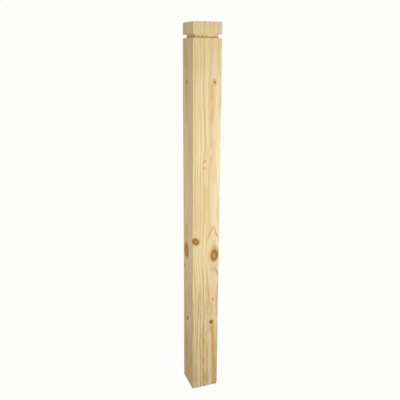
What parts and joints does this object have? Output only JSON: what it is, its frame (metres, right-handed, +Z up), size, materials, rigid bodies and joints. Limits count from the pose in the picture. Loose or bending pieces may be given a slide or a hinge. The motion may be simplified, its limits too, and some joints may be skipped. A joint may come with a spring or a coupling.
{
  "type": "newel post",
  "caption": "Plain square newel post of planed pine for a staircase or landing, with a groove cut round all four faces just below its flat top.",
  "frame": {"origin": "middle of the sawn underside, where the post stands", "axes": "+Z up the post to its head; -Y is out of the wide lit face of the picture, -X out of the narrow shaded face beside it"},
  "size_m": [0.09, 0.09, 1.2],
  "materials": {
    "pine": "matte"
  },
  "bodies": {
    "root": {"newel_post": "pine"}
  },
  "joints": []
}
